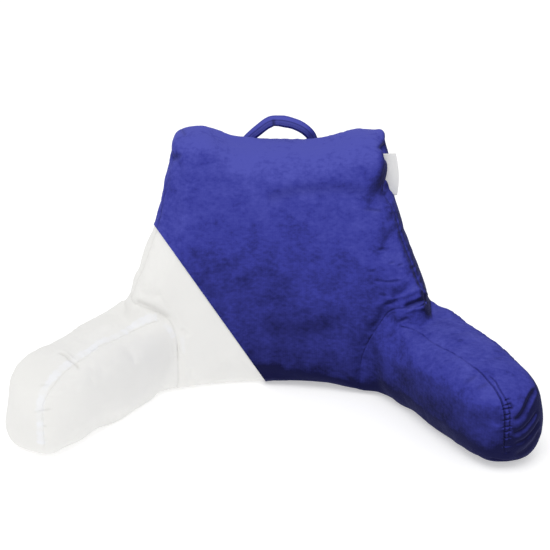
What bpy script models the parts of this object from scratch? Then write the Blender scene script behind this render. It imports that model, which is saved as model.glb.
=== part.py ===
"""Reading pillow with arms: a filled back cushion with two filled arms.

The pillow stands on its flat base and faces -Y, with +X to the viewer's right.
A pile cover hides the back and the right arm. It is cut away along one slanted
plane, so that the white inner casing shows on the left arm and on the lower
left of the back. A strap handle stands behind the top edge, and a blank tab
is sewn into the right side seam. Sizes are in metres, and the origin is on the
ground under the middle of the footprint.
"""

import math

import bmesh
import bpy
from mathutils import Matrix, Vector

# Back cushion: heights and half sizes of the filled form
BACK_HEIGHT = 0.437  # to the middle of the top, before it settles
BACK_HALF_WIDTHS = (  # height, half width
    (0.00, 0.260),
    (0.17, 0.270),
    (0.25, 0.240),
    (0.33, 0.208),
    (0.45, 0.187),
)
BACK_WIDEST = max(half_width for _, half_width in BACK_HALF_WIDTHS)
BACK_HALF_THICK_FOOT = 0.082
BACK_HALF_THICK_TOP = 0.061
BACK_RECLINE = math.radians(8.6)
BACK_Y = 0.084
BACK_WRAP = 0.058
BACK_WRAP_RISE = 0.77
BACK_ROUNDNESS = 4.6
BACK_FOOT_ROUNDNESS = 6.5
BACK_TOP_SQUARENESS = 13.0
BACK_FOOT_SQUARENESS = 10.0
BACK_SETTLE = 0.010

# The two top corners stand up as ears, each over a pinch in the side seam.
# start and span say where an ear rises, as shares of the half width. lift and
# bulge are its height and extra width, and pinch and tuck the height and depth
# of the pinch under it.
EAR_LEVEL = 0.6
LEFT_EAR = {"start": 0.34, "span": 0.34, "lift": 0.022, "bulge": 0.001, "pinch": 0.403, "tuck": 0.007}
RIGHT_EAR = {"start": 0.32, "span": 0.44, "lift": 0.020, "bulge": 0.007, "pinch": 0.416, "tuck": 0.006}
PINCH_REACH = 0.012

# Arms: each differs a little, as filled cloth does
ARM_ROOT = 0.110  # length that lies inside the back
ARM_LENGTH = 0.458
ARM_THICKNESS = 0.158
ARM_TAPER = 0.17
ARM_RISE = 0.05
ARM_SECTION_ROUNDNESS = 4.4
ARM_END_ROUNDNESS = 3.9
ARM_SETTLE = 0.006
ARM_REAR_INSET = 0.028
ARM_REAR_BLEND = 0.050
LEFT_ARM = {
    "side": -1.0,
    "x": 0.227,
    "y": 0.075,
    "splay": math.radians(33.8),
    "height": 0.150,
    "foot_section": 4.6,
    "foot_end": 6.0,
}
RIGHT_ARM = {
    "side": 1.0,
    "x": 0.234,
    "y": 0.073,
    "splay": math.radians(30.4),
    "height": 0.152,
    "foot_section": 3.6,
    "foot_end": 4.6,
}

# Carry handle: a flat padded strap that arches over its route
HANDLE_Y = 0.190
HANDLE_ROUTE = (  # x, height of the strap's middle
    (-0.070, 0.385),
    (-0.059, 0.411),
    (-0.038, 0.432),
    (-0.014, 0.449),
    (0.015, 0.448),
    (0.042, 0.437),
    (0.060, 0.417),
    (0.066, 0.385),
)
HANDLE_WIDTH = 0.024
HANDLE_THICKNESS = 0.008
HANDLE_TILT = math.radians(25)

# Side tab: a folded tape held in the right side seam
TAB_LENGTH = 0.080
TAB_WIDTH = 0.030
TAB_THICKNESS = 0.0016
TAB_TOP = 0.4155
TAB_Y = 0.125
TAB_OUTER_X = 0.2085
TAB_CURL = 0.004
TAB_BOW = 0.004
TAB_LEAN = 0.003

# Cutaway plane: a point on it, and the direction towards the covered side
CUTAWAY_POINT = Vector((-0.018, 0.000, 0.017))
CUTAWAY_NORMAL = Vector((0.806, 0.334, 0.489)).normalized()

COVER_THICKNESS = 0.002
CUT_GAP = 0.0003
CLEARANCE = 0.0007
CLEARANCE_FOOT_ROUNDNESS = 16.0

# Where the middle of the footprint lies from the point that the sizes above start at
FOOTPRINT_MIDDLE = Vector((-0.0051, -0.0188, 0.0))

# Faces of each cage along X, Y and Z, before its points are placed
BACK_SEGMENTS = (12, 4, 14)
ARM_SEGMENTS = (5, 10, 5)
HANDLE_SEGMENTS = (14, 2, 2)
TAB_SEGMENTS = (3, 1, 5)
SMOOTHING_LEVELS = 1
RIM_CROWDING = 0.8  # 0 spaces the cage evenly, 1 draws its rows to the rims as a sine does

COVER_BLUE = (0.062, 0.055, 0.330, 1.0)
CASING_WHITE = (0.800, 0.790, 0.770, 1.0)
TAB_WHITE = (0.780, 0.780, 0.760, 1.0)


def clear_scene():
    """Remove every object of the starting scene."""
    for old in list(bpy.data.objects):
        bpy.data.objects.remove(old, do_unlink=True)


def make_collection(name):
    """Add a collection under the scene's own."""
    collection = bpy.data.collections.new(name)
    bpy.context.scene.collection.children.link(collection)
    return collection


def make_material(name, colour, roughness):
    """Make a matt cloth finish."""
    material = bpy.data.materials.new(name)
    material.use_nodes = True
    shader = material.node_tree.nodes["Principled BSDF"]
    shader.inputs["Base Color"].default_value = colour
    shader.inputs["Roughness"].default_value = roughness
    shader.inputs["Metallic"].default_value = 0.0
    return material


def smooth_step(t):
    """Ease from 0 to 1."""
    t = min(max(t, 0.0), 1.0)
    return t * t * (3.0 - 2.0 * t)


def smooth_min(a, b, blend):
    """The lower of two values, rounded where they meet."""
    h = max(blend - abs(a - b), 0.0) / blend
    return min(a, b) - h * h * blend / 4.0


def read_table(table, x):
    """Read a smooth curve through the rows of a table."""
    rows = list(table)
    last = len(rows) - 1
    x = min(max(x, rows[0][0]), rows[last][0])
    i = max(k for k in range(last) if rows[k][0] <= x)
    slopes = [
        (rows[min(k + 1, last)][1] - rows[max(k - 1, 0)][1])
        / (rows[min(k + 1, last)][0] - rows[max(k - 1, 0)][0])
        for k in (i, i + 1)
    ]
    span = rows[i + 1][0] - rows[i][0]
    t = (x - rows[i][0]) / span
    return (
        (2 * t**3 - 3 * t**2 + 1) * rows[i][1]
        + (t**3 - 2 * t**2 + t) * span * slopes[0]
        + (3 * t**2 - 2 * t**3) * rows[i + 1][1]
        + (t**3 - t**2) * span * slopes[1]
    )


def round_off(p, plan_axes, depth_axis, plan_roundness, depth_roundness):
    """Draw a point of the unit cube in to a rounded box, square in plan or less so."""
    first, second = (abs(p[axis]) for axis in plan_axes)
    plan = (first**plan_roundness + second**plan_roundness) ** (1.0 / plan_roundness)
    depth = abs(p[depth_axis])
    reach = (plan**depth_roundness + depth**depth_roundness) ** (1.0 / depth_roundness)
    return p / reach


def back_point(p, inset, foot, foot_roundness):
    """Place a point of the unit cube on the back cushion."""
    squareness = BACK_TOP_SQUARENESS if p.z > 0 else BACK_FOOT_SQUARENESS
    roundness = BACK_ROUNDNESS if p.z > 0 else foot_roundness
    p = round_off(p, (0, 2), 1, squareness, roundness)
    level = (p.z + 1.0) / 2.0
    height = (BACK_HEIGHT - inset) * level
    half_width = read_table(BACK_HALF_WIDTHS, height) - inset
    half_thick = BACK_HALF_THICK_FOOT + (BACK_HALF_THICK_TOP - BACK_HALF_THICK_FOOT) * level - inset
    height -= BACK_SETTLE
    ear = LEFT_EAR if p.x < 0 else RIGHT_EAR
    rise = smooth_step((level - EAR_LEVEL) / (1.0 - EAR_LEVEL))
    rise *= smooth_step((abs(p.x) - ear["start"]) / ear["span"])
    z = height + ear["lift"] * rise
    tuck = ear["tuck"] * math.exp(-(((z - ear["pinch"]) / PINCH_REACH) ** 2))
    x = (half_width + ear["bulge"] * rise - tuck) * p.x
    wrap = BACK_WRAP * smooth_step((1.0 - level) / BACK_WRAP_RISE) * p.x**2
    y = BACK_Y + half_thick * p.y + math.tan(BACK_RECLINE) * z - wrap
    return Vector((x, y, max(z, foot)))


def arm_point(p, inset, arm):
    """Place a point of the unit cube on an arm: p.y runs forward along its length."""
    section = ARM_SECTION_ROUNDNESS if p.z > 0 else arm["foot_section"]
    end = ARM_END_ROUNDNESS if p.z > 0 else arm["foot_end"]
    p = round_off(p, (0, 2), 1, section, end)
    half_length = ARM_LENGTH / 2.0
    along = half_length * (1.0 + p.y) - ARM_ROOT - inset * p.y
    across = (ARM_THICKNESS / 2.0 * (1.0 - ARM_TAPER * p.y) - inset) * p.x
    up = (arm["height"] - inset) * (p.z + 1.0) / 2.0 * (1.0 + ARM_RISE * p.y) - ARM_SETTLE
    sine, cosine = math.sin(arm["splay"]), math.cos(arm["splay"])
    x = arm["x"] + sine * along + cosine * across
    y = arm["y"] - cosine * along + sine * across
    rear = BACK_Y + BACK_HALF_THICK_FOOT - BACK_WRAP * (x / BACK_WIDEST) ** 2
    y = smooth_min(y, rear - ARM_REAR_INSET, ARM_REAR_BLEND)
    return Vector((arm["side"] * x, y, max(up, 0.0)))


def handle_point(p):
    """Place a point of the unit cube on the strap: p.x runs along its route."""
    steps = len(HANDLE_ROUTE) - 1
    near = 0.05
    t = (p.x + 1.0) / 2.0 * steps
    xs = [(k, row[0]) for k, row in enumerate(HANDLE_ROUTE)]
    zs = [(k, row[1]) for k, row in enumerate(HANDLE_ROUTE)]
    here = Vector((read_table(xs, t), 0.0, read_table(zs, t)))
    ahead = Vector((read_table(xs, t + near), 0.0, read_table(zs, t + near)))
    behind = Vector((read_table(xs, t - near), 0.0, read_table(zs, t - near)))
    along = (ahead - behind).normalized()
    outward = Vector((-along.z, 0.0, along.x))
    turn = Matrix.Rotation(HANDLE_TILT, 3, along)
    face = turn @ outward
    width = turn @ Vector((0.0, 1.0, 0.0))
    offset = width * p.y * HANDLE_WIDTH / 2.0 + face * p.z * HANDLE_THICKNESS / 2.0
    return here + Vector((0.0, HANDLE_Y, 0.0)) + offset


def tab_point(p):
    """Place a point of the unit cube on the tab: p.x runs out of the seam."""
    out = (p.x + 1.0) / 2.0
    x = TAB_OUTER_X - TAB_WIDTH * (1.0 - out) + TAB_BOW * (1.0 - p.z**2) * out - TAB_LEAN * p.z
    y = TAB_Y + TAB_THICKNESS / 2.0 * p.y + TAB_CURL * out * out
    z = TAB_TOP - TAB_LENGTH * (1.0 - p.z) / 2.0
    return Vector((x, y, z))


def smoothed_point(vert):
    """Where one step of Catmull-Clark smoothing takes a cage point."""
    count = len(vert.link_edges)
    faces = sum((f.calc_center_median() for f in vert.link_faces), Vector()) / count
    edges = sum(((e.verts[0].co + e.verts[1].co) / 2.0 for e in vert.link_edges), Vector()) / count
    return (faces + 2.0 * edges + (count - 3) * vert.co) / count


def swell_cage(bm, rounds=3):
    """Push a cage out until its smoothed surface runs through its placed points."""
    wanted = [vert.co.copy() for vert in bm.verts]
    for _ in range(rounds):
        shortfalls = [goal - smoothed_point(vert) for goal, vert in zip(wanted, bm.verts)]
        for goal, vert, shortfall in zip(wanted, bm.verts, shortfalls):
            vert.co += shortfall
            vert.co.z = goal.z if goal.z <= 0.0 else max(vert.co.z, 0.0)


def add_soft_form(name, collection, segments, place):
    """Build a cage from a cube, place its points, and smooth it by subdivision."""
    side = 2.0
    bm = bmesh.new()
    bmesh.ops.create_cube(bm, size=side)
    for axis, count in enumerate(segments):
        runs = [e for e in bm.edges if abs(e.verts[0].co[axis] - e.verts[1].co[axis]) > side / 2.0]
        bmesh.ops.subdivide_edges(bm, edges=runs, cuts=count - 1, use_grid_fill=True)
    for vert in bm.verts:
        crowded = Vector(math.sin(math.pi / 2.0 * value) for value in vert.co)
        vert.co = place(vert.co.lerp(crowded, RIM_CROWDING)) - FOOTPRINT_MIDDLE
    swell_cage(bm)
    bmesh.ops.recalc_face_normals(bm, faces=bm.faces)
    mesh = bpy.data.meshes.new(name)
    bm.to_mesh(mesh)
    bm.free()
    mesh.shade_smooth()
    form = bpy.data.objects.new(name, mesh)
    collection.objects.link(form)
    smoothing = form.modifiers.new("smoothing", "SUBSURF")
    smoothing.use_limit_surface = False
    smoothing.levels = SMOOTHING_LEVELS
    smoothing.render_levels = SMOOTHING_LEVELS
    return form


def hide_cutter(cutter):
    """Keep a cutting form out of the part."""
    cutter.hide_render = True
    cutter.display_type = "WIRE"
    return cutter


def add_half_space(name, collection, towards):
    """Make a large block whose face lies half a gap from the cutaway plane."""
    size = 2.0
    bm = bmesh.new()
    bmesh.ops.create_cube(bm, size=size)
    mesh = bpy.data.meshes.new(name)
    bm.to_mesh(mesh)
    bm.free()
    block = bpy.data.objects.new(name, mesh)
    block.rotation_mode = "QUATERNION"
    block.rotation_quaternion = Vector((0.0, 0.0, 1.0)).rotation_difference(towards)
    block.location = CUTAWAY_POINT - FOOTPRINT_MIDDLE + towards * (size / 2.0 - CUT_GAP / 2.0)
    collection.objects.link(block)
    return hide_cutter(block)


def cut(form, cutter):
    """Take the cutter's volume out of the form."""
    boolean = form.modifiers.new("cut by " + cutter.name, "BOOLEAN")
    boolean.operation = "DIFFERENCE"
    boolean.solver = "EXACT"
    boolean.object = cutter


def add_back(name, collection, inset):
    """Add the whole back cushion, drawn in by the inset."""

    def place(p):
        return back_point(p, inset, 0.0, BACK_FOOT_ROUNDNESS)

    return add_soft_form(name, collection, BACK_SEGMENTS, place)


def add_back_clearance(name, collection, inset):
    """Add the room that other pieces leave for the back, a gap larger and square at the foot."""

    def place(p):
        return back_point(p, inset - CLEARANCE, -CLEARANCE, CLEARANCE_FOOT_ROUNDNESS)

    return hide_cutter(add_soft_form(name, collection, BACK_SEGMENTS, place))


def add_arm(name, collection, inset, arm):
    """Add one arm, drawn in by the inset."""
    return add_soft_form(name, collection, ARM_SEGMENTS, lambda p: arm_point(p, inset, arm))


clear_scene()
pillow = make_collection("reading_pillow")
cutters = make_collection("cutters")
cover = make_material("cover_pile", COVER_BLUE, 0.85)
casing = make_material("casing_cloth", CASING_WHITE, 0.90)
tape = make_material("tab_tape", TAB_WHITE, 0.55)

covered_side = add_half_space("covered_side", cutters, CUTAWAY_NORMAL)
bare_side = add_half_space("bare_side", cutters, -CUTAWAY_NORMAL)
covered_clearance = add_back_clearance("covered_clearance", cutters, 0.0)
bare_clearance = add_back_clearance("bare_clearance", cutters, COVER_THICKNESS)

covered_back = add_back("covered_back", pillow, 0.0)
cut(covered_back, bare_side)

bare_back = add_back("bare_back", pillow, COVER_THICKNESS)
cut(bare_back, covered_side)

covered_arm = add_arm("covered_arm", pillow, 0.0, RIGHT_ARM)
cut(covered_arm, covered_clearance)

bare_arm = add_arm("bare_arm", pillow, COVER_THICKNESS, LEFT_ARM)
cut(bare_arm, bare_clearance)

carry_handle = add_soft_form("carry_handle", pillow, HANDLE_SEGMENTS, handle_point)
cut(carry_handle, covered_clearance)

side_label = add_soft_form("side_label", pillow, TAB_SEGMENTS, tab_point)
cut(side_label, covered_clearance)

for piece, finish in (
    (covered_back, cover),
    (bare_back, casing),
    (covered_arm, cover),
    (bare_arm, casing),
    (carry_handle, cover),
    (side_label, tape),
):
    piece.data.materials.append(finish)
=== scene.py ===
"""The looks of a reading pillow with arms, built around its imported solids.

A filled back cushion stands between two filled arms. A short-pile velour cover
hides the back and the right arm, and is cut away along one slanted plane, so
that the white casing shows on the left arm and the lower left of the back.
Sizes are in metres, and spots of the photograph in its 550 x 550 pixels.
"""

import math

import bmesh
import bpy
import numpy as np
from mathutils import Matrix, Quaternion, Vector, noise
from mathutils.bvhtree import BVHTree


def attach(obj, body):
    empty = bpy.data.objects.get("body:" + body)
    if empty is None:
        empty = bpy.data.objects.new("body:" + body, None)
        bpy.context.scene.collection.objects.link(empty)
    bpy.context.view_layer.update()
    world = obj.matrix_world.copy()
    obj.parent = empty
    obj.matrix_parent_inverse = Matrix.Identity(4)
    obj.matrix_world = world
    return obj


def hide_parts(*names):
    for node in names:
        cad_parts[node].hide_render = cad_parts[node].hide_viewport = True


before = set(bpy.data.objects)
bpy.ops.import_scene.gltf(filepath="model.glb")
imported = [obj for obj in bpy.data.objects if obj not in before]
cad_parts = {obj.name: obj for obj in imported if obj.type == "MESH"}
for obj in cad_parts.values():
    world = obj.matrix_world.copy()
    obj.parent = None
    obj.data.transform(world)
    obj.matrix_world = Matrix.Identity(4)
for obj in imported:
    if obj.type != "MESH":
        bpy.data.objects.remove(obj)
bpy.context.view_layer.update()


# The photographed view: a long lens, well above the pillow and square to its front.
# It comes first, because seams and folds are placed by the spots where they show.
PICTURE_SIDE = 550
FOCUS = 1323.0
VIEW_TARGET = Vector((0.0013, 0.0187, 0.2398))
VIEW_DISTANCE = 2.293
VIEW_PITCH = math.radians(28.1)
VIEW_YAW = math.radians(0.96)
VIEW_ROLL = math.radians(0.16)

view_back = Vector(
    (
        math.sin(VIEW_YAW) * math.cos(VIEW_PITCH),
        -math.cos(VIEW_YAW) * math.cos(VIEW_PITCH),
        math.sin(VIEW_PITCH),
    )
)
camera = bpy.data.objects.new("camera", bpy.data.cameras.new("camera"))
bpy.context.scene.collection.objects.link(camera)
bpy.context.scene.camera = camera
camera.location = VIEW_TARGET + view_back * VIEW_DISTANCE
camera.rotation_mode = "QUATERNION"
camera.rotation_quaternion = (-view_back).to_track_quat("-Z", "Y") @ Quaternion((0, 0, 1), VIEW_ROLL)
camera.data.sensor_width = 36.0
camera.data.lens = camera.data.sensor_width * FOCUS / PICTURE_SIDE


def sight_line(spot):
    """The direction in which the camera sees a spot of the photograph."""
    across = (spot[0] - PICTURE_SIDE / 2) / FOCUS
    down = (spot[1] - PICTURE_SIDE / 2) / FOCUS
    return (camera.rotation_quaternion @ Vector((across, -down, -1.0))).normalized()


# The stuffed form: two boxed bolsters for arms, sewn to the sides of a boxed back
# cushion and stuffed together with loose foam. It is one skin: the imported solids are
# remade as an even net of cloth, and filled under pressure with their seams held.
NET = 0.005
BRIDGE = 0.0015
COVER_THICKNESS = 0.002
CUTAWAY_POINT = Vector((-0.0129, 0.0188, 0.017))
CUTAWAY_NORMAL = Vector((0.806, 0.334, 0.489)).normalized()
CUTAWAY_BLEND = 0.006
LINE_STEP = 0.003
SHORTEST_LINE = 0.030
STRETCH = 12
SIGHT_BEFORE = 0.4
SIGHT_BEHIND = 0.3
SIGHT_STEPS = 141


def covered(points):
    """How far points lie on the covered side of the plane where the cover is cut away."""
    return (points - np.array(CUTAWAY_POINT)) @ np.array(CUTAWAY_NORMAL)


def smooth_step(low, high, value):
    """Ease from 0 at low to 1 at high."""
    share = np.clip((value - low) / (high - low), 0.0, 1.0)
    return share * share * (3.0 - 2.0 * share)


def through(spots, count):
    """Points on a smooth curve through a few spots, evenly spaced."""
    spots = np.array(spots, float)
    padded = np.vstack([2 * spots[0] - spots[1], spots, 2 * spots[-1] - spots[-2]])
    share = np.linspace(0.0, 1.0, 12, endpoint=False)[:, None]
    runs = []
    for a, b, c, d in zip(padded[:-3], padded[1:-2], padded[2:-1], padded[3:]):
        runs.append(
            b
            + 0.5 * share * (c - a)
            + share**2 * (a - 2.5 * b + 2 * c - 0.5 * d)
            + share**3 * (1.5 * (b - c) + 0.5 * (d - a))
        )
    return evenly(np.vstack(runs + [spots[-1:]]), count)


def evenly(line, count):
    """The same line with that many points, evenly spaced."""
    reached = np.concatenate([[0.0], np.cumsum(np.linalg.norm(np.diff(line, axis=0), axis=1))])
    wanted = np.linspace(0.0, reached[-1], count)
    return np.stack([np.interp(wanted, reached, column) for column in line.T], axis=1)


class Cloth:
    """The skin of a filled piece, and how far its folds stand out of it."""

    def __init__(self, piece):
        self.piece = piece
        mesh = piece.data
        mesh.calc_loop_triangles()
        self.points = self.read(mesh.vertices, "co")
        self.normals = self.read(mesh.vertex_normals, "vector")
        self.triangles = self.read(mesh.loop_triangles, "vertices", np.int32)
        self.faces = [tuple(face.vertices) for face in mesh.polygons]
        self.tree = BVHTree.FromPolygons(self.points.tolist(), self.faces)
        self.rise = np.zeros(len(self.points))
        self.marks = {"crease_shade": np.zeros(len(self.points)), "allowance": np.zeros(len(self.points))}

    @staticmethod
    def read(rows, name, kind=np.float32):
        values = np.zeros(len(rows) * 3, kind)
        rows.foreach_get(name, values)
        return values.reshape(-1, 3).astype(float if kind is np.float32 else kind)

    def mark(self, name, values, picked):
        """Note a mark, as a share from 0 to 1 at each point: painted shade in folds and seams, or the
        paler allowance.
        """
        self.marks[name][picked] = np.maximum(self.marks[name][picked], values)

    def spot(self, spot):
        """The point of the cloth that shows at a spot of the photograph, or the nearest to it."""
        line = sight_line(spot)
        seen = self.tree.ray_cast(camera.location, line)[0]
        if seen is None:
            nearest, farthest = VIEW_DISTANCE - SIGHT_BEFORE, VIEW_DISTANCE + SIGHT_BEHIND
            depths = np.linspace(nearest, farthest, SIGHT_STEPS)
            passed = [self.tree.find_nearest(camera.location + line * depth) for depth in depths]
            seen = min(passed, key=lambda found: found[3])[0]
        return np.array(seen)

    def traced(self, *spots):
        """A line over the cloth, through spots of the photograph."""
        line = np.array([self.spot(spot) for spot in through(spots, 60)])
        length = np.linalg.norm(np.diff(line, axis=0), axis=1).sum()
        return evenly(line, max(4, int(length / LINE_STEP)))

    def level_lines(self, field, where):
        """The lines over part of the cloth where a field changes sign, as chains of points."""
        over = field[self.triangles] > 0
        inside = where[self.triangles].all(axis=1)
        crossed = self.triangles[over.any(axis=1) & ~over.all(axis=1) & inside]
        links = {}
        for corners in crossed:
            edges = [tuple(sorted((corners[i], corners[i - 1]))) for i in range(3)]
            cut = [edge for edge in edges if (field[edge[0]] > 0) != (field[edge[1]] > 0)]
            links.setdefault(cut[0], []).append(cut[1])
            links.setdefault(cut[1], []).append(cut[0])
        lines = []
        while links:
            ends = [edge for edge, others in links.items() if len(others) == 1]
            edge = ends[0] if ends else next(iter(links))
            chain = [edge]
            while links.get(edge):
                following = links[edge].pop()
                links[following].remove(edge)
                if not links[edge]:
                    del links[edge]
                edge = following
                chain.append(edge)
            links.pop(edge, None)
            low, high = np.array(chain).T
            share = (field[low] / (field[low] - field[high]))[:, None]
            line = self.points[low] * (1 - share) + self.points[high] * share
            length = np.linalg.norm(np.diff(line, axis=0), axis=1).sum()
            if length > SHORTEST_LINE:
                lines.append(evenly(line, int(length / LINE_STEP)))
        return lines

    def near(self, line, reach):
        """The points within reach of a line, how far off they are, and where along it."""
        away = np.full(len(self.points), np.inf)
        along = np.zeros(len(self.points))
        lengths = np.linalg.norm(np.diff(line, axis=0), axis=1)
        reached = np.concatenate([[0.0], np.cumsum(lengths)])
        low, high = line.min(axis=0) - reach, line.max(axis=0) + reach
        around = np.flatnonzero(((self.points > low) & (self.points < high)).all(axis=1))
        places = self.points[around]
        for start in range(0, len(lengths), STRETCH):
            ends = line[start : start + STRETCH + 1]
            low, high = ends.min(axis=0) - reach, ends.max(axis=0) + reach
            picked = np.flatnonzero(((places > low) & (places < high)).all(axis=1))
            if not len(picked):
                continue
            runs = np.diff(ends, axis=0)
            squares = np.maximum((runs**2).sum(axis=1), 1e-12)
            gap = places[picked, None] - ends[None, :-1]
            share = np.clip((gap * runs).sum(axis=2) / squares, 0.0, 1.0)
            off = np.sqrt(((gap - share[..., None] * runs) ** 2).sum(axis=2))
            best = off.argmin(axis=1)
            rows = np.arange(len(best))
            closer = off[rows, best] < away[around[picked]]
            chosen, best, rows = around[picked[closer]], best[closer], rows[closer]
            away[chosen] = off[rows, best]
            along[chosen] = reached[start + best] + share[rows, best] * lengths[start + best]
        close = np.flatnonzero(away < reach)
        return close, away[close], along[close], reached[-1]

    def press(self, line, depth, width, shade=0.0, taper=0.0, lip=0.0):
        """Sink a soft trough along a line, with a lip beside it, and paint shade in the trough. A
        negative depth is a ridge.
        """
        picked, away, along, length = self.near(line, 4.0 * width)
        amount = np.ones(len(picked))
        if taper:
            amount = smooth_step(0.0, taper, along) * smooth_step(0.0, taper, length - along)
        valley = np.exp(-((away / width) ** 2))
        ridge = np.exp(-(((away - 2.0 * width) / width) ** 2))
        self.rise[picked] += amount * (lip * ridge - depth * valley)
        if shade:
            self.mark("crease_shade", amount * shade * valley, picked)

    def pucker(self, line, height, reach, spacing, seed, skew=0.0):
        """Raise short uneven ridges that run away from a line."""
        picked, away, along, length = self.near(line, 3.0 * reach)
        wave = ripple(along + skew * away, spacing, length, seed)
        self.rise[picked] += height * wave * np.exp(-away / reach) * smooth_step(0.0, 0.002, away)

    def swell(self, spot, amount, width):
        """Fill the cloth out, or in, around a spot of the photograph."""
        away = np.linalg.norm(self.points - self.spot(spot), axis=1)
        self.rise += amount * np.exp(-((away / width) ** 2))

    def uneven(self, height, size, seed):
        """Make the fill a little lumpy."""
        places = self.points / size + seed
        self.rise += height * np.array([noise.noise(place) for place in places.tolist()])

    def finish(self):
        """Put the worked points and the marks in the mesh."""
        mesh = self.piece.data
        points = self.points + self.normals * self.rise[:, None]
        points[:, 2] = np.maximum(points[:, 2], 0.0)
        mesh.vertices.foreach_set("co", points.astype(np.float32).ravel())
        for name, values in self.marks.items():
            mark = mesh.attributes.get(name) or mesh.attributes.new(name, "FLOAT", "POINT")
            mark.data.foreach_set("value", values.astype(np.float32))
        mesh.update()
        mesh.shade_smooth()


def ripple(along, spacing, length, seed):
    """Smooth uneven waves from -1 to 1 along a line."""
    heights = np.random.default_rng(seed).uniform(-1.0, 1.0, int(length / spacing) + 12)
    place = np.clip(along / spacing + 2.0, 0.0, len(heights) - 2.001)
    step = place.astype(int)
    share = smooth_step(0.0, 1.0, place - step)
    return heights[step] * (1 - share) + heights[step + 1] * share


def solid_tree(*nodes):
    """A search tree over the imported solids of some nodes."""
    points, faces = [], []
    for node in nodes:
        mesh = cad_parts[node].data
        first = len(points)
        points += [tuple(vert.co) for vert in mesh.vertices]
        faces += [tuple(first + i for i in face.vertices) for face in mesh.polygons]
    return BVHTree.FromPolygons(points, faces)


def distance_to(tree, points, reach):
    """How far points lie from what a tree holds, up to reach."""
    found = (tree.find_nearest(point, reach)[3] for point in points.tolist())
    return np.array([reach if away is None else away for away in found])


def keep_modified(piece):
    """Make what a piece's modifiers show its own mesh."""
    shown = piece.evaluated_get(bpy.context.evaluated_depsgraph_get())
    mesh = bpy.data.meshes.new_from_object(shown)
    piece.modifiers.clear()
    piece.vertex_groups.clear()
    piece.data = mesh


def weigh(piece, name, weights):
    """A vertex group of a piece, with a weight for each point."""
    group = piece.vertex_groups.new(name=name)
    for index in np.flatnonzero(weights > 0.01):
        group.add([int(index)], float(weights[index]), "REPLACE")
    return group.name


# The arms in plan: where each leaves the back, how far it splays, and how far its
# outer seam lies from its middle
SIDES = {"left": -1.0, "right": 1.0}
ARM_ROOTS = {"left": (-0.2219, 0.0938), "right": (0.2391, 0.0918)}
ARM_SPLAYS = {"left": math.radians(33.8), "right": math.radians(30.4)}
OUTER_SEAM = 0.060


def outward(points, side):
    """How far points lie out of an arm's middle plane, away from the seat."""
    across = np.array([SIDES[side] * math.cos(ARM_SPLAYS[side]), math.sin(ARM_SPLAYS[side])])
    return (points[:, :2] - np.array(ARM_ROOTS[side])) @ across


# How near to the back and to an arm a hollow begins and ends, and how far outward of
# an arm's middle it fades away
HOLLOW_REACH = (0.012, 0.050)
HOLLOW_OUTER = (-0.035, 0.015)
HOLLOW_SEARCH = 0.060
LEVEL_TIMES = 70
SOFTEN_TIMES = 40


def net_of(name, nodes):
    """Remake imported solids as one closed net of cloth, with soft hollows where they meet."""
    joined = bmesh.new()
    for node in nodes:
        solid = bmesh.new()
        solid.from_mesh(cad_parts[node].data)
        bmesh.ops.remove_doubles(solid, verts=solid.verts, dist=1e-5)
        for vert, normal in [(vert, vert.normal.copy()) for vert in solid.verts]:
            vert.co += normal * BRIDGE
        mesh = bpy.data.meshes.new(node)
        solid.to_mesh(mesh)
        solid.free()
        joined.from_mesh(mesh)
    mesh = bpy.data.meshes.new(name)
    joined.to_mesh(mesh)
    joined.free()
    piece = bpy.data.objects.new(name, mesh)
    bpy.context.scene.collection.objects.link(piece)
    remake = piece.modifiers.new("net", "REMESH")
    remake.mode = "VOXEL"
    remake.voxel_size = NET
    even = piece.modifiers.new("even", "SMOOTH")
    even.iterations = 2
    keep_modified(piece)
    points = Cloth.read(piece.data.vertices, "co")
    normals = Cloth.read(piece.data.vertex_normals, "vector")
    inward = BRIDGE + COVER_THICKNESS * smooth_step(-CUTAWAY_BLEND, CUTAWAY_BLEND, covered(points))
    points -= normals * inward[:, None]
    points[:, 2] = np.maximum(points[:, 2], 0.0)
    piece.data.vertices.foreach_set("co", points.astype(np.float32).ravel())
    to_back = distance_to(solid_tree("covered_back", "bare_back"), points, HOLLOW_SEARCH)
    to_arms = distance_to(solid_tree("covered_arm", "bare_arm"), points, HOLLOW_SEARCH)
    hollow = 1.0 - smooth_step(*HOLLOW_REACH, np.maximum(to_back, to_arms))
    outer = np.maximum(outward(points, "left"), outward(points, "right"))
    hollow *= 1.0 - smooth_step(*HOLLOW_OUTER, outer)
    level = piece.modifiers.new("level", "SMOOTH")
    level.iterations = LEVEL_TIMES
    level.use_z = False
    level.vertex_group = weigh(piece, "hollow", hollow)
    soften = piece.modifiers.new("soften", "SMOOTH")
    soften.iterations = SOFTEN_TIMES
    off_ground = smooth_step(0.004, 0.030, points[:, 2])
    soften.vertex_group = weigh(piece, "raised_hollow", hollow * off_ground)
    keep_modified(piece)
    return piece


# How long the cloth is filled for, and how often the rest of it is smoothed
FILL_FRAMES = 20
SETTLE_TIMES = 4


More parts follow.
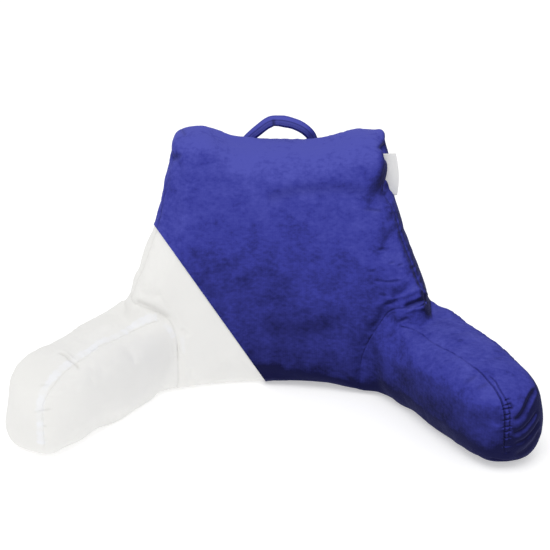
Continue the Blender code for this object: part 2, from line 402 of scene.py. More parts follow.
def fill(piece, held, pressure, slack, most):
    """Fill a piece as cloth under pressure, with some points held, and smooth the rest."""
    rest = Cloth.read(piece.data.vertices, "co")
    cloth = piece.modifiers.new("cloth", "CLOTH")
    cloth.settings.vertex_group_mass = weigh(piece, "held", held.astype(float))
    cloth.settings.use_pressure = True
    cloth.settings.uniform_pressure_force = pressure
    cloth.settings.shrink_min = -slack
    cloth.settings.effector_weights.gravity = 0.0
    for moment in range(1, FILL_FRAMES + 1):
        bpy.context.scene.frame_set(moment)
    keep_modified(piece)
    bpy.context.scene.frame_set(1)
    moved = Cloth.read(piece.data.vertices, "co") - rest
    length = np.linalg.norm(moved, axis=1)[:, None]
    moved *= np.minimum(1.0, most / np.maximum(length, 1e-9))
    piece.data.vertices.foreach_set("co", (rest + moved).astype(np.float32).ravel())
    settle = piece.modifiers.new("settle", "SMOOTH")
    settle.iterations = SETTLE_TIMES
    settle.vertex_group = weigh(piece, "free", 1.0 - held.astype(float))
    finer = piece.modifiers.new("finer", "SUBSURF")
    finer.levels = 1
    keep_modified(piece)


# The planes in which an arm is sewn to the back, from the ground up its inner side and
# over its top. Each passes two spots of the photograph and a corner behind them, and
# TO_ARM says how far aside and up the arm lies from it.
ROOT_BLEND = 0.012
TO_ARM = ((1.0, 0.0), (0.7, -0.7), (0.0, -1.0))
ROOT_PLANES = {
    "left": (
        ((178, 384), (178, 345), (-0.255, 0.165, 0.0)),
        ((177, 335), (170, 319), (-0.255, 0.168, 0.080)),
        ((165, 316), (131, 301), (-0.255, 0.170, 0.150)),
    ),
    "right": (
        ((360, 383), (362, 357), (0.265, 0.165, 0.0)),
        ((366, 346), (386, 315), (0.263, 0.168, 0.080)),
        ((392, 309), (426, 302), (0.262, 0.170, 0.150)),
    ),
}


def root_planes(cloth, side):
    """A point and the direction towards the arm, for each of the planes of a root."""
    planes = []
    for (first, second, corner), (aside, up) in zip(ROOT_PLANES[side], TO_ARM):
        first, second, corner = cloth.spot(first), cloth.spot(second), np.array(corner)
        across = np.cross(second - first, corner - first)
        out = np.array([aside * SIDES[side], 0.0, up])
        across *= math.copysign(1.0, across @ out) / np.linalg.norm(across)
        planes.append((first, across))
    return planes


def beyond(planes, points):
    """How far points lie on the arm's side of a root."""
    least, *others = ((points - point) @ across for point, across in planes)
    for other in others:
        gap = np.clip(ROOT_BLEND - np.abs(least - other), 0.0, None) / ROOT_BLEND
        least = np.minimum(least, other) - gap**2 * ROOT_BLEND / 4.0
    return least


# The back's side panels run from a pinch under each ear to the ground. Above the
# pinch the front panel wraps over the top, to the seam at the rear panel's edge.
BACK_FRONT = Vector((0.0051, 0.1028, 0.0))
BACK_HEIGHT = 0.437
BACK_SETTLE = 0.010
BACK_HALF_WIDTHS = {0.0: 0.260, 0.17: 0.270, 0.25: 0.240, 0.33: 0.208, 0.45: 0.187}
BACK_HALF_THICKS = {0.0: 0.082, 1.0: 0.061}
BACK_LEAN = math.tan(math.radians(8.6))
BACK_WRAP = 0.058
BACK_WRAP_RISE = 0.77
FRONT_SEAM_SHARE = 0.45
REAR_SEAM_SHARE = 0.62
SIDE_PANEL_TOP = 0.403
SIDE_PANEL_TAPER = 0.05


def back_seams(cloth):
    """The seams before and behind the back's side panels, which meet behind the top."""
    points = cloth.points
    level = (points[:, 2] + BACK_SETTLE) / BACK_HEIGHT
    half_width = np.interp(points[:, 2], list(BACK_HALF_WIDTHS), list(BACK_HALF_WIDTHS.values()))
    half_thick = np.interp(level, list(BACK_HALF_THICKS), list(BACK_HALF_THICKS.values()))
    share = (points[:, 0] - BACK_FRONT.x) / half_width
    wrap = BACK_WRAP * smooth_step(0.0, BACK_WRAP_RISE, 1.0 - level) * share**2
    depth = (points[:, 1] - BACK_FRONT.y - BACK_LEAN * points[:, 2] + wrap) / half_thick
    closing = smooth_step(SIDE_PANEL_TOP - SIDE_PANEL_TAPER, SIDE_PANEL_TOP, points[:, 2])
    on_back = np.maximum(*(beyond(planes, points) for planes in roots.values())) < 0.0
    front = depth + FRONT_SEAM_SHARE * (1.0 - closing) - REAR_SEAM_SHARE * closing
    return [
        *cloth.level_lines(front, on_back & (closing < 0.999)),
        *cloth.level_lines(depth - REAR_SEAM_SHARE, on_back),
    ]


def root_seam(cloth, side):
    """The seam around an arm's root."""
    on_side = cloth.points[:, 0] * SIDES[side] > 0.08
    return cloth.level_lines(beyond(roots[side], cloth.points), on_side)


def outer_seam(cloth, side):
    """The seam along an arm's outer edge, over its end and down to the ground."""
    on_arm = beyond(roots[side], cloth.points) > 0.004
    return cloth.level_lines(outward(cloth.points, side) - OUTER_SEAM, on_arm)


# Where the filled shape stands out of its solids, or in: a spot of the photograph,
# how far, and how broadly.
SHAPING = (
    ((119, 307), 0.003, 0.022),
    ((126, 305), 0.010, 0.013),
    ((114, 306), 0.003, 0.022),
    ((30, 354), 0.007, 0.040),
    ((17, 366), 0.005, 0.030),
    ((14, 446), 0.004, 0.030),
    ((72, 444), -0.009, 0.035),
    ((100, 427), -0.009, 0.035),
    ((440, 309), 0.003, 0.024),
    ((431, 305), 0.011, 0.013),
    ((452, 309), 0.006, 0.024),
    ((500, 345), 0.003, 0.035),
    ((530, 456), 0.005, 0.030),
    ((395, 397), 0.009, 0.030),
    ((430, 424), 0.003, 0.035),
    ((387, 348), 0.007, 0.020),
    ((388, 374), 0.011, 0.020),
    ((384, 131), 0.007, 0.013),
    ((386, 149), -0.030, 0.012),
    ((386, 138), -0.005, 0.010),
    ((390, 164), -0.009, 0.022),
    ((393, 188), -0.017, 0.030),
    ((170, 161), -0.020, 0.013),
    ((139, 265), -0.006, 0.020),
)

# Spots that the seams along the arms' tops and ends pass, and the second row of
# stitches at the right arm's end
LEFT_ARM_SEAM = (
    (158, 321), (140, 327), (125, 335), (112, 341), (100, 346), (93, 351), (84, 358), (76, 363),
    (66, 371), (60, 377), (54, 385), (49, 392), (44, 402), (42.5, 410), (43, 430), (44, 447),
)
RIGHT_ARM_SEAM = (
    (400, 327), (410, 329), (420, 334), (430, 341), (440, 347), (450, 352), (460, 358), (470, 365),
    (480, 372), (487.5, 380), (494, 387.5), (499, 396), (502.5, 404), (505, 415), (505, 427.5),
    (504.4, 440), (504, 452.5),
)
RIGHT_ARM_STITCHES = (
    (487.5, 375), (495, 381), (500, 390), (506, 400),
    (509, 407.5), (510, 421), (509, 434), (509, 444),
)

# Lines down the hollows inside the arms' roots, at the corners where the root seams
# turn to the rear, and along the part of those seams that the photograph shows
ROOT_HOLLOWS = (
    ((377, 332), (377, 350), (380, 368), (385, 390)),
    ((164, 338), (161, 360), (160, 385)),
)
ROOT_CORNERS = (
    ((431, 306), (431, 312), (432, 318)),
    ((126, 305), (126, 309), (127, 314)),
)
ROOT_FRONTS = (
    ((430, 304), (410, 306), (392, 310), (382, 320), (372, 332), (364, 352), (360, 370)),
    ((135, 303), (155, 311), (171, 321), (178, 345), (178, 380)),
)

# The fill holds what is this near to the ground or to a seam.
GROUNDED = 0.003
SEAM_HOLD = 0.004

stuffed = net_of("stuffed_form", ("covered_back", "bare_back", "covered_arm", "bare_arm"))
net = Cloth(stuffed)
for spot, amount, width in SHAPING:
    net.swell(spot, amount, width)
net.finish()
net = Cloth(stuffed)
roots = {side: root_planes(net, side) for side in SIDES}
seams = back_seams(net) + root_seam(net, "left") + root_seam(net, "right")
seams += outer_seam(net, "left") + outer_seam(net, "right")
seams += [net.traced(*LEFT_ARM_SEAM), net.traced(*RIGHT_ARM_SEAM)]
held = net.points[:, 2] < GROUNDED
for line in seams:
    held[net.near(line, SEAM_HOLD)[0]] = True
fill(stuffed, held, pressure=4.0, slack=0.012, most=0.005)


EASE_FADE = 0.030


def ease(piece, lines, reach, times, lowest, highest):
    """Work a piece smooth along some lines, between two heights. On the ground it stays level."""
    net = Cloth(piece)
    creased = np.zeros(len(net.points))
    for line in lines:
        picked, away = net.near(line, reach)[:2]
        creased[picked] = np.maximum(creased[picked], 1.0 - smooth_step(0.4 * reach, reach, away))
    creased *= smooth_step(lowest - EASE_FADE, lowest, net.points[:, 2])
    creased *= 1.0 - smooth_step(highest, highest + EASE_FADE, net.points[:, 2])
    smoother = piece.modifiers.new("ease", "SMOOTH")
    smoother.iterations = times
    smoother.use_z = lowest > 0.0
    smoother.vertex_group = weigh(piece, "creased", creased)
    keep_modified(piece)


# The fill creases the hollows and the corners, so they are worked smooth once more.
net = Cloth(stuffed)
hollows = [net.traced(*spots) for spots in ROOT_HOLLOWS]
corners = [net.traced(*spots) for spots in ROOT_CORNERS]
ease(stuffed, hollows, reach=0.050, times=180, lowest=0.0, highest=0.115)
ease(stuffed, corners, reach=0.024, times=16, lowest=0.150, highest=0.190)


def refine(piece, lines, reach):
    """Halve the net near some lines, so that narrow seams can show in it."""
    net = Cloth(piece)
    close = np.zeros(len(net.points), bool)
    for line in lines:
        close[net.near(line, reach)[0]] = True
    form = bmesh.new()
    form.from_mesh(piece.data)
    edges = [edge for edge in form.edges if all(close[vert.index] for vert in edge.verts)]
    bmesh.ops.subdivide_edges(form, edges=edges, cuts=1, use_grid_fill=True)
    form.to_mesh(piece.data)
    form.free()


net = Cloth(stuffed)
arm_seams = [net.traced(*spots) for spots in (LEFT_ARM_SEAM, RIGHT_ARM_SEAM, RIGHT_ARM_STITCHES)]
root_fronts = [net.traced(*spots) for spots in ROOT_FRONTS]
refine(stuffed, arm_seams + root_fronts, reach=0.0070)
refine(stuffed, arm_seams, reach=0.0035)


# The casing: plain white cotton, seen on the left arm and the lower left of the back.
# Its panels are sewn with narrow seams, whose allowances show through the thin cloth.
CUT_GAP = 0.0001
PULL_WIDTH = 0.012
PUCKER_REACH = 0.010
PUCKER_SPACING = 0.006


def sew(cloth, lines, depth, width, pull, seed, shade=0.5, drawn=0.0012):
    """Draw cloth in along its seams: a narrow groove with painted shade, a broad pull, and short
    puckers.
    """
    for number, line in enumerate(lines):
        cloth.press(line, pull, PULL_WIDTH)
        cloth.press(line, depth, width, shade=shade, lip=0.08 * depth)
        cloth.pucker(line, drawn, PUCKER_REACH, PUCKER_SPACING, seed + number, skew=0.4)


def copy_of(piece, name):
    """A piece with its own copy of the mesh."""
    other = bpy.data.objects.new(name, piece.data.copy())
    bpy.context.scene.collection.objects.link(other)
    return other


def uncovered(points):
    """How far points lie on the bare side of the cutaway's plane."""
    return -covered(points)


def trim(piece, *fields):
    """Cut a piece where any of some fields falls under the cut's gap, and close the cuts."""
    form = bmesh.new()
    form.from_mesh(piece.data)
    for field in fields:
        form.verts.index_update()
        verts = list(form.verts)
        kept = field(np.array([vert.co for vert in verts])) - CUT_GAP
        rim = []
        for edge in list(form.edges):
            first, second = (kept[vert.index] for vert in edge.verts)
            if (first > 0) != (second > 0):
                rim.append(bmesh.utils.edge_split(edge, edge.verts[0], first / (first - second))[1])
        lost = [vert for vert, value in zip(verts, kept) if value <= 0]
        bmesh.ops.connect_verts(form, verts=rim)
        bmesh.ops.delete(form, geom=lost, context="VERTS")
        open_edges = [edge for edge in form.edges if edge.is_boundary]
        while open_edges:
            loop, reached = [], [open_edges[0]]
            left = set(open_edges)
            left.discard(open_edges[0])
            while reached:
                edge = reached.pop()
                loop.append(edge)
                for other in {other for vert in edge.verts for other in vert.link_edges} & left:
                    left.discard(other)
                    reached.append(other)
            open_edges = [edge for edge in open_edges if edge in left]
            middle = sum((vert.co for edge in loop for vert in edge.verts), Vector()) / (2 * len(loop))
            centre = form.verts.new(middle)
            for edge in loop:
                first, second = edge.verts
                if edge.link_loops[0].vert == first:
                    first, second = second, first
                form.faces.new((first, second, centre)).smooth = False
                edge.smooth = False
    form.to_mesh(piece.data)
    form.free()


casing = Cloth(copy_of(stuffed, "back_casing"))
sew(casing, back_seams(casing), 0.0020, 0.0026, 0.0020, 11)
sew(casing, root_seam(casing, "left"), 0.0010, 0.0018, 0.0012, 21, shade=0.3, drawn=0.0006)
sew(casing, outer_seam(casing, "left"), 0.0014, 0.0022, 0.0015, 31)
sew(casing, [casing.traced(*LEFT_ARM_SEAM)], 0.0009, 0.0013, 0.0008, 41, shade=0.35, drawn=0.0006)
casing.uneven(0.0018, 0.055, 3.0)


def fold(cloth, depth, width, shade, *spots):
    """Press a fold through spots of the photograph, fading out at its ends, with shade painted in it."""
    line = cloth.traced(*spots)
    length = np.linalg.norm(np.diff(line, axis=0), axis=1).sum()
    cloth.press(line, depth, width, shade=shade, taper=min(0.012, 0.4 * length), lip=0.1 * abs(depth))


# The casing's folds: over the arm's root, beside it, and short ones across the arm's
# seam. Each has its depth, its width, how much shade is painted in it, and the spots that it passes.
fold(casing, 0.0045, 0.0058, 0.45, (133, 302), (145, 306), (155, 311), (164, 316), (171, 321))
fold(casing, 0.0010, 0.0014, 0.5, (177, 340), (178, 352), (178.5, 366))
fold(casing, 0.0020, 0.0080, 0.0, (138, 292), (150, 294), (162, 299))
fold(casing, 0.0020, 0.0050, 0.0, (180, 328), (190, 338))
fold(casing, 0.0024, 0.0022, 0.9, (56, 352), (65, 355), (70, 360), (76, 364), (80, 371))
fold(casing, -0.0022, 0.0026, 0.0, (57, 349), (66, 352), (71, 357), (77, 361))
fold(casing, 0.0015, 0.0020, 0.5, (90, 350), (95, 351))
fold(casing, 0.0014, 0.0022, 0.4, (36, 386), (52, 384))
fold(casing, 0.0016, 0.0022, 0.4, (32, 413), (44, 411), (54, 409))
fold(casing, 0.0012, 0.0020, 0.4, (40, 427), (48, 427))


# The allowances along the arm's seam, inside its root and beside the root on the back:
# half the band's width, how much it shows, a seed for its ragged edge, and its spots
ALLOWANCES = (
    (0.0056, 0.45, 61, (
        (158, 317), (150, 318), (140, 322), (130, 328), (120, 335), (108, 339), (98, 343),
        (92, 349), (82, 354), (72, 361), (62, 368), (57, 373), (50, 381), (45, 388), (43, 393),
        (41, 400), (40, 407), (40, 425), (41, 446),
    )),
    (0.0045, 0.40, 63, ((163, 323), (169, 329), (175, 338))),
    (0.0030, 0.25, 65, ((182, 335), (184, 355))),
)


def show_allowance(line, half_width, most, seed):
    """The seam allowance behind thin cotton: a paler band with a ragged edge, a little raised."""
    picked, away, along, length = casing.near(line, 0.012)
    edge = half_width * (1.0 + 0.30 * ripple(along, 0.004, length, seed))
    inside = 1.0 - smooth_step(-0.0015, 0.0025, away - edge)
    inside *= smooth_step(0.0, 0.004, along) * smooth_step(0.0, 0.004, length - along)
    strength = most * (0.6 + 0.4 * ripple(along, 0.009, length, seed + 1))
    casing.mark("allowance", inside * strength, picked)
    casing.rise[picked] += 0.0002 * inside


for half_width, most, seed, spots in ALLOWANCES:
    show_allowance(casing.traced(*spots), half_width, most, seed)
casing.finish()

left_arm = copy_of(casing.piece, "left_arm_casing")
trim(left_arm, uncovered, lambda points: beyond(roots["left"], points))
trim(casing.piece, uncovered, lambda points: -beyond(roots["left"], points))


class Strand:
    """A value in a finish's nodes, which can be worked with as a number."""

    def __init__(self, finish, socket):
        self.finish = finish
        self.socket = socket

    def joined(self, operation, first, second):
        return self.finish.add("Math", {"operation": operation}, {0: first, 1: second})

    def __add__(self, other):
        return self.joined("ADD", self, other)

    def __sub__(self, other):
        return self.joined("SUBTRACT", self, other)

    def __rsub__(self, other):
        return self.joined("SUBTRACT", other, self)

    def __mul__(self, other):
        return self.joined("MULTIPLY", self, other)

    __radd__ = __add__
    __rmul__ = __mul__


class Finish:
    """A cloth finish: a material, with its shader and its nodes."""

    def __init__(self, name, **constants):
        self.material = bpy.data.materials.new(name)
        self.material.use_nodes = True
        self.tree = self.material.node_tree
        self.shader = self.tree.nodes["Principled BSDF"]
        for socket, value in constants.items():
            self.shader.inputs[socket.replace("_", " ")].default_value = value
        self.place = self.add("TexCoord", output="Object")

    def add(self, kind, settings={}, sockets={}, output=0):
        """A node of some kind: its settings first, then the values or links of its sockets."""
        node = self.tree.nodes.new("ShaderNode" + kind)
        for name, value in settings.items():
            setattr(node, name, value)
        for name, value in sockets.items():
            if isinstance(value, Strand):
                self.tree.links.new(value.socket, node.inputs[name])
            else:
                node.inputs[name].default_value = value
        return Strand(self, node.outputs[output])

    def feed(self, socket, strand):
        """Link a value to one of the shader's sockets."""
        self.tree.links.new(strand.socket, self.shader.inputs[socket])

    def noise(self, scale, stretch, detail, roughness):
        """Noise from 0 to 1 over the cloth."""
        place = self.add("VectorMath", {"operation": "MULTIPLY"}, {0: self.place, 1: stretch})
        sockets = {"Vector": place, "Scale": scale, "Detail": detail, "Roughness": roughness}
        return self.add("TexNoise", {}, sockets)

    def rows(self, axis, pitch, bend=0.0):
        """Fine rows across an axis, from 0 to 1."""
        sockets = {"Vector": self.place, "Scale": 0.314 / pitch, "Distortion": bend}
        return self.add("TexWave", {"bands_direction": axis}, sockets, "Fac")

    def mark(self, name):
        """A mark that was noted in the mesh."""
        return self.add("Attribute", {"attribute_name": name}, output="Fac")

    def between(self, value, low, high):
        """Go evenly from 0 to 1 as a value goes from low to high."""
        return self.add("MapRange", {}, {"Value": value, "From Min": low, "From Max": high})

    def mix(self, share, first, second):
        """A colour between two others."""
        settings = {"data_type": "RGBA"}
        return self.add("Mix", settings, {0: share, 6: first, 7: second}, 2)

    def bump(self, height, depth, below=None):
        """Raise the surface by a height from 0 to 1, times a depth."""
        sockets = {"Height": height, "Distance": depth, "Strength": 1.0}
        if below:
            sockets["Normal"] = below
        return self.add("Bump", {}, sockets)


cotton = Finish(
    "white_cotton",
    Roughness=0.9,
    Sheen_Weight=0.15,
    Sheen_Roughness=0.5,
    Specular_IOR_Level=0.2,
)
mottle = cotton.noise(14.0, (1.0, 1.0, 1.0), 4.0, 0.6)
white = cotton.mix(mottle, (0.80, 0.795, 0.775, 1.0), (0.85, 0.845, 0.825, 1.0))
white = cotton.mix(cotton.mark("allowance"), white, (0.90, 0.92, 1.0, 1.0))
# Painted shade in the folds and seams, over the cotton's own white
white = cotton.mix(cotton.mark("crease_shade") * 0.35, white, (0.50, 0.49, 0.46, 1.0))
cotton.feed("Base Color", white)
weave = cotton.rows("X", 0.0011) * cotton.rows("Z", 0.0011)
cotton.feed("Normal", cotton.bump(weave, 0.00015))


def dress(piece, finish, node):
    """Give a piece its finish, attach it to the root, and hide the solid that it stands for."""
    piece.data.materials.clear()
    piece.data.materials.append(finish.material)
    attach(piece, "root")
    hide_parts(node)


for piece, node in ((casing.piece, "bare_back"), (left_arm, "bare_arm")):
    dress(piece, cotton, node)


# The cover: short-pile royal blue velour, cut like the casing and drawn over it. It
# hides the back and the right arm, and ends along the slanted plane of the cutaway.
cover = Cloth(copy_of(stuffed, "back_cover"))
cover.rise += COVER_THICKNESS
sew(cover, back_seams(cover), 0.0022, 0.0026, 0.0020, 13)
sew(cover, root_seam(cover, "right"), 0.0006, 0.0016, 0.0004, 23, shade=0.10, drawn=0.0006)
sew(cover, outer_seam(cover, "right"), 0.0018, 0.0022, 0.0015, 33)
sew(cover, [cover.traced(*RIGHT_ARM_SEAM)], 0.0011, 0.0013, 0.0010, 43, shade=0.20, drawn=0.0008)
cover.uneven(0.0018, 0.055, 3.0)

# Where the cover is caught in the arm's root: a deep fold, ridges and a forked pucker
fold(cover, 0.0040, 0.0038, 0.7, (402, 309), (410, 305), (418, 302), (425, 300))
fold(cover, -0.0025, 0.0050, 0.0, (384, 300), (395, 298), (406, 295), (414, 291), (420, 291), (426, 295))
fold(cover, -0.0022, 0.0042, 0.0, (402, 315), (409, 311), (418, 309), (426, 308))
fold(cover, 0.0014, 0.0034, 0.2, (382, 306), (392, 303), (400, 301))
fold(cover, 0.0018, 0.0018, 0.5, (394, 315), (395, 324))
fold(cover, 0.0016, 0.0016, 0.5, (391, 316), (392.5, 324))
fold(cover, 0.0020, 0.0022, 0.6, (396, 323.5), (403, 320), (412, 317))
fold(cover, 0.0018, 0.0045, 0.4, (398, 330), (390, 335), (384, 340))

# The arm's two rows of stitches, the rungs of drawn cloth between them, and the folds
# that run from them around the arm's end
fold(cover, 0.0012, 0.0012, 0.40, *RIGHT_ARM_SEAM[7:])
fold(cover, 0.0014, 0.0012, 0.45, *RIGHT_ARM_STITCHES)
RUNG_ROWS = (400, 405, 409, 415, 420, 427, 432, 438, 446, 452)
for number, row in enumerate(RUNG_ROWS):
    reach = 2.0 + 2.0 * (number % 3)
    left_end = (505.5 - reach, row + 1.5)
    right_end = (510.5 + reach / 2, row - 1.5)
    fold(cover, 0.0015, 0.0014, 0.4, left_end, (507, row), right_end)
fold(cover, 0.0020, 0.0022, 0.7, (507.5, 401), (512.5, 407.5), (507.5, 410))
fold(cover, 0.0032, 0.0042, 0.9, (512.5, 422.5), (521, 415), (526, 406), (530, 397.5), (536, 389))
fold(cover, 0.0032, 0.0042, 0.9, (511, 435), (522.5, 429), (531, 420), (537, 410))
fold(cover, 0.0032, 0.0046, 1.0, (512, 444), (524, 439), (534, 429), (539, 419))
fold(cover, 0.0024, 0.0080, 1.0, (513, 455), (524, 450), (534, 440), (539, 428))
fold(cover, 0.0020, 0.0022, 0.7, (487.5, 457.5), (495, 458), (505, 459.5), (517, 458.5), (525, 455))
fold(cover, 0.0012, 0.0040, 0.3, (490, 381), (483, 386), (475, 390))
fold(cover, 0.0012, 0.0040, 0.3, (478, 374), (470, 380), (462, 384))
fold(cover, 0.0016, 0.0040, 0.2, (452, 312), (455, 315), (456, 319))

# Crumples beside the back's side seam, broad dips at the sitter's shoulders and hips,
# and a pinch under each ear
fold(cover, 0.0012, 0.0020, 0.3, (374, 251), (383, 249.5), (392, 249))
fold(cover, 0.0012, 0.0018, 0.3, (387, 264), (392, 262.5), (396, 262))
fold(cover, 0.0012, 0.0018, 0.3, (396, 266), (400, 265), (404, 263))
fold(cover, 0.0012, 0.0020, 0.3, (365, 271), (371, 271.5), (378, 270))
fold(cover, 0.0014, 0.0020, 0.35, (372, 280), (380, 281), (390, 282), (398, 281), (404, 281))
fold(cover, 0.0012, 0.0020, 0.3, (378, 294), (383, 295.5), (388, 296))
fold(cover, 0.0010, 0.0025, 0.4, (361, 209), (375, 210), (384, 212))
fold(cover, 0.0016, 0.0100, 0.22, (265, 198), (300, 190), (340, 188), (365, 192), (388, 197))
fold(cover, 0.0015, 0.0220, 0.30, (262, 322), (300, 332), (345, 326))
fold(cover, 0.0026, 0.0050, 0.4, (172, 160), (178, 157), (184, 153))
fold(cover, 0.0014, 0.0022, 0.35, (178, 157), (177, 150))
fold(cover, 0.0026, 0.0045, 0.4, (384, 149.5), (379, 148.5), (374, 148.5))
fold(cover, 0.0012, 0.0030, 0.3, (181, 129), (184, 133), (186, 138))
cover.finish()
right_arm = copy_of(cover.piece, "right_arm_cover")
trim(right_arm, covered, lambda points: beyond(roots["right"], points))
trim(cover.piece, covered, lambda points: -beyond(roots["right"], points))
bpy.data.objects.remove(stuffed)

# The pile's colour has light and shade painted in: lighter high up and where it faces the light,
# darker with painted shade in folds, on faces turned to the right and at the arm's end. Brushed patches
# vary it.
velour = Finish(
    "blue_velour",
    Roughness=0.9,
    Sheen_Weight=0.12,
    Sheen_Roughness=0.4,
    Sheen_Tint=(0.35, 0.38, 1.0, 1.0),
    Specular_IOR_Level=0.1,
)
height = velour.add("SeparateXYZ", {}, {0: velour.place}, 2)
normal = velour.add("NewGeometry", output="Normal")
turned = velour.between(velour.add("SeparateXYZ", {}, {0: normal}, 0), 0.40, 0.80)
at_end = velour.between(velour.add("SeparateXYZ", {}, {0: velour.place}, 0), 0.35, 0.44)
to_light = (-0.16, -0.17, 0.97)
facing = velour.add("VectorMath", {"operation": "DOT_PRODUCT"}, {0: normal, 1: to_light}, 1)
facing = facing.joined("MAXIMUM", facing, 0.05)
brushed = velour.noise(8.0, (1.0, 1.0, 1.3), 9.0, 0.62)
patches = velour.noise(30.0, (1.0, 1.0, 1.15), 9.0, 0.66)
streaks = velour.noise(150.0, (0.75, 1.0, 1.25), 3.0, 0.6)
ribs = velour.rows("X", 0.004, 0.4)
grain = velour.noise(900.0, (1.0, 1.0, 1.0), 2.0, 0.6)
nap = 0.30 * brushed + 0.42 * patches + 0.28 * streaks
# Painted light and shade: lighter higher up and facing the light, darker turned right and over the arm's
# end, then varied by the nap
light_and_nap_tone = 1.15 * height + 0.70 * facing - 0.34 * turned - 0.20 * at_end - 0.12
light_and_nap_tone = light_and_nap_tone + 2.7 * (nap - 0.5) * (1.05 * light_and_nap_tone + 0.25) + 0.020 * (ribs - 0.5)
darkest = (0.005, 0.0055, 0.045, 1.0)
middling = (0.039, 0.044, 0.300, 1.0)
lightest = (0.075, 0.083, 0.410, 1.0)
# Colour of the painted shade in folds and seams
crease_shade_colour = (0.005, 0.005, 0.035, 1.0)
blue = velour.mix(velour.between(light_and_nap_tone, 0.0, 0.5), darkest, middling)
blue = velour.mix(velour.between(light_and_nap_tone, 0.5, 1.0), blue, lightest)
blue = velour.mix(velour.mark("crease_shade") * 0.85, blue, crease_shade_colour)
velour.feed("Base Color", blue)
pile = velour.bump(streaks, 0.0006)
pile = velour.bump(grain, 0.0004, pile)
velour.feed("Normal", pile)

for piece, node in ((cover.piece, "covered_back"), (right_arm, "covered_arm")):
    dress(piece, velour, node)


# The carry strap: a doubled band of the cover's velour, stitched along both edges. Its
# ends are sewn to the back's rear face, and it bends up between them, with a kink near
# its middle and a fold along its front.
STRAP_WIDTH = 0.024
STRAP_THICKNESS = 0.008
STRAP_TILT = math.radians(25.0)
STRAP_DEPTH = 0.2088
STRAP_ROUTE = (
    (-0.0649, 0.385), (-0.0539, 0.411), (-0.0329, 0.432), (-0.0089, 0.449),
    (0.0201, 0.448), (0.0471, 0.437), (0.0651, 0.417), (0.0711, 0.385),
)
STRAP_STATIONS = 181
STRAP_PROFILE = 56
STRAP_SQUARENESS = 4.5
STRAP_KINK = -0.005
STRAP_KINK_WIDTH = 0.0030
STRAP_FOLD = -0.0015
STRAP_FOLD_WIDTH = 0.0010
STITCH = 0.0034
STITCH_ROW = 0.0085
STITCH_WIDTH = 0.0009
EDGE_WIDTH = 0.0011


def swept(name, rings):
    """A closed form through rings of points, with flat ends."""
    count, around = rings.shape[:2]
    faces = [tuple(range(around))[::-1], tuple(range((count - 1) * around, count * around))]
    for ring in range(count - 1):
        for corner in range(around):
            low, high = ring * around, (ring + 1) * around
            after = (corner + 1) % around
            faces.append((low + corner, low + after, high + after, high + corner))
    mesh = bpy.data.meshes.new(name)
    mesh.from_pydata(rings.reshape(-1, 3).tolist(), [], faces)
    mesh.shade_smooth()
    piece = bpy.data.objects.new(name, mesh)
    bpy.context.scene.collection.objects.link(piece)
    return piece


route = through([(x, STRAP_DEPTH, z) for x, z in STRAP_ROUTE], STRAP_STATIONS)
runs = np.gradient(route, axis=0)
reached = np.concatenate([[0.0], np.cumsum(np.linalg.norm(np.diff(route, axis=0), axis=1))])
runs /= np.linalg.norm(runs, axis=1)[:, None]
sideways = np.array([0.0, 1.0, 0.0])
upwards = np.stack([-runs[:, 2], 0.0 * runs[:, 1], runs[:, 0]], axis=1)
faced = upwards * math.cos(STRAP_TILT) - sideways * math.sin(STRAP_TILT)
widened = sideways * math.cos(STRAP_TILT) + upwards * math.sin(STRAP_TILT)
angles = np.linspace(0.0, 2 * math.pi, 721)
outline = np.stack([np.cos(angles), np.sin(angles)], axis=1)
outline = np.sign(outline) * np.abs(outline) ** (2 / STRAP_SQUARENESS)
outline *= np.array([STRAP_WIDTH, STRAP_THICKNESS]) / 2
outline = evenly(outline, STRAP_PROFILE + 1)[:-1]
across, through_it = outline.T
kink = np.exp(-(((route[:, 0] - STRAP_KINK) / STRAP_KINK_WIDTH) ** 2))[:, None]
kink = kink * (across < 0.002)[None, :]
stitched = np.exp(-(((np.abs(across) - STITCH_ROW) / STITCH_WIDTH) ** 2))[None, :]
edge_fold = np.exp(-((through_it / EDGE_WIDTH) ** 2)) * (np.abs(across) > 0.009)
face_fold = np.exp(-(((across - STRAP_FOLD) / STRAP_FOLD_WIDTH) ** 2)) * (through_it > 0.0)
front_half = smooth_step(0.0, 0.003, STRAP_FOLD - across) * (through_it > 0.0)
rung = 0.5 + 0.5 * np.cos(2 * math.pi * reached / STITCH)[:, None]
waves = [ripple(reached, 0.014, reached[-1], seed) for seed in (80, 81)]
soft = 1.0 + 0.06 * np.stack(waves, axis=1)
sunk = 1.0 - 0.06 * kink
thin = 1.0 - 0.30 * stitched * (0.5 + 0.5 * rung) - 0.15 * kink
thin = thin - (0.34 * face_fold + 0.16 * front_half)[None, :]
wide = 1.0 - 0.10 * edge_fold[None, :]
strap = swept(
    "carry_strap",
    route[:, None, :]
    + widened[:, None, :] * (across * wide * sunk * soft[:, :1])[..., None]
    + faced[:, None, :] * (through_it * thin * soft[:, 1:])[..., None],
)
# Painted shade in the stitch rows, the kink and the folds, and over the strap's front half, which faces
# less up
strap_crease_shade = strap.data.attributes.new("crease_shade", "FLOAT", "POINT")
shades = 0.5 * stitched * rung + 0.8 * edge_fold[None, :] + 0.5 * kink
shades = np.clip(shades + (0.85 * face_fold + 0.35 * front_half)[None, :], 0.0, 1.0)
strap_crease_shade.data.foreach_set("value", shades.astype(np.float32).ravel())
dress(strap, velour, "carry_handle")


# The side tab: a piece of smooth white woven tape, folded double and caught by its two
# ends in the seam behind the back's side panel. It stands out, a little bowed.
TAB_LENGTH = 0.080
TAB_WIDTH = 0.030
TAB_TAPE = 0.0005
TAB_HALF_GAP = 0.00055
TAB_TOP = 0.4155
TAB_PLACE = (0.2136, 0.1438)
TAB_CURL = 0.004
TAB_BOW = 0.004
TAB_LEAN = 0.003

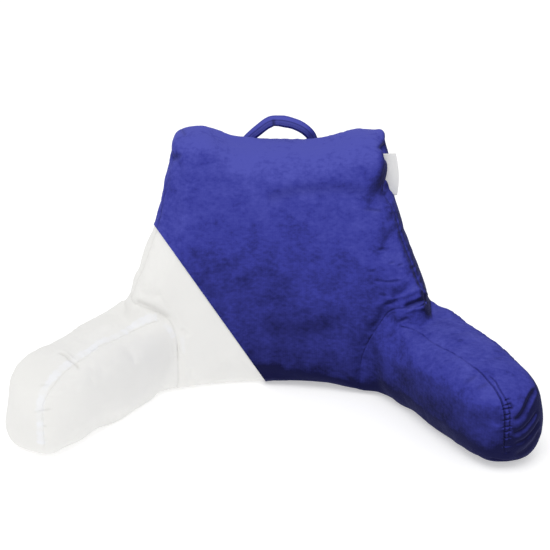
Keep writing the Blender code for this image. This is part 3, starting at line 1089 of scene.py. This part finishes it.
turn = np.linspace(math.pi / 2, -math.pi / 2, 9)
leaf = np.linspace(0.0, 1.0, 13)[:-1]
fold_start = TAB_WIDTH - TAB_HALF_GAP


def tape_side(gap):
    """One side of the doubled tape: out along the front leaf, around the fold and back."""
    bend = np.stack([fold_start + gap * np.cos(turn), -gap * np.sin(turn)], axis=1)
    front = np.stack([leaf * fold_start, np.full(len(leaf), -gap)], axis=1)
    rear = front[::-1] * np.array([1.0, -1.0])
    return np.vstack([front, bend, rear])


outer_side = tape_side(TAB_HALF_GAP + TAB_TAPE / 2)
inner_side = tape_side(TAB_HALF_GAP - TAB_TAPE / 2)
tape = np.vstack([outer_side, inner_side[::-1]])
out = (tape[:, 0] / TAB_WIDTH)[None, :]
level = np.linspace(1.0, -1.0, 41)[:, None]
ends = 0.00025 * np.sin(9.0 * out + 2.0)
bowed = TAB_BOW * (1.0 - level**2) * out - TAB_LEAN * level
tab_points = np.stack(
    [
        TAB_PLACE[0] + tape[None, :, 0] - TAB_WIDTH + bowed,
        TAB_PLACE[1] + tape[None, :, 1] + TAB_CURL * out**2 + 0.0005 * np.sin(3.0 * level) * out,
        TAB_TOP - TAB_LENGTH * (1.0 - level) / 2 + ends,
    ],
    axis=2,
)
tab = swept("side_tab", tab_points)

tape_white = Finish("white_tape", Roughness=0.5, Specular_IOR_Level=0.35)
fading = tape_white.noise(30.0, (1.0, 1.0, 1.0), 3.0, 0.5)
faded = tape_white.mix(fading, (0.76, 0.76, 0.76, 1.0), (0.84, 0.84, 0.83, 1.0))
tape_white.feed("Base Color", faded)
tape_white.feed("Normal", tape_white.bump(tape_white.rows("Z", 0.0008), 0.00008))
dress(tab, tape_white, "side_label")


# The room: a wide pale floor that glows a little, an even pale sky, and one broad soft
# lamp high above the left of the front.
FLOOR_HALF = 40.0
FLOOR_DROP = 0.0005
FLOOR_GLOW = 0.40
SKY_LIGHT = 0.75
LAMP_SIZE = (2.8, 2.1)
LAMP_WATTS = 62.0
LAMP_PLACE = Vector((-0.4, -1.3, 4.2))
LAMP_TARGET = Vector((0.0, 0.0, 0.15))

bpy.context.scene.view_settings.view_transform = "Standard"
floor_mesh = bpy.data.meshes.new("floor")
floor_corners = [(x * FLOOR_HALF, y * FLOOR_HALF, 0.0) for x, y in ((-1, -1), (1, -1), (1, 1), (-1, 1))]
floor_mesh.from_pydata(floor_corners, [], [(0, 1, 2, 3)])
floor = bpy.data.objects.new("floor", floor_mesh)
floor.location.z = -FLOOR_DROP
bpy.context.scene.collection.objects.link(floor)
pale = Finish(
    "pale_floor",
    Base_Color=(0.80, 0.80, 0.80, 1.0),
    Roughness=0.9,
    Specular_IOR_Level=0.0,
)
pale.shader.inputs["Emission Color"].default_value = (1.0, 1.0, 1.0, 1.0)
pale.shader.inputs["Emission Strength"].default_value = FLOOR_GLOW
floor_mesh.materials.append(pale.material)

sky = bpy.data.worlds.new("sky")
bpy.context.scene.world = sky
sky.use_nodes = True
background = sky.node_tree.nodes["Background"]
background.inputs["Color"].default_value = (1.0, 1.0, 1.0, 1.0)
background.inputs["Strength"].default_value = SKY_LIGHT

lamp = bpy.data.lights.new("soft_lamp", "AREA")
lamp.shape = "RECTANGLE"
lamp.size, lamp.size_y = LAMP_SIZE
lamp.energy = LAMP_WATTS
lamp_stand = bpy.data.objects.new("soft_lamp", lamp)
lamp_stand.location = LAMP_PLACE
lamp_stand.rotation_euler = (LAMP_TARGET - LAMP_PLACE).to_track_quat("-Z", "Y").to_euler()
bpy.context.scene.collection.objects.link(lamp_stand)
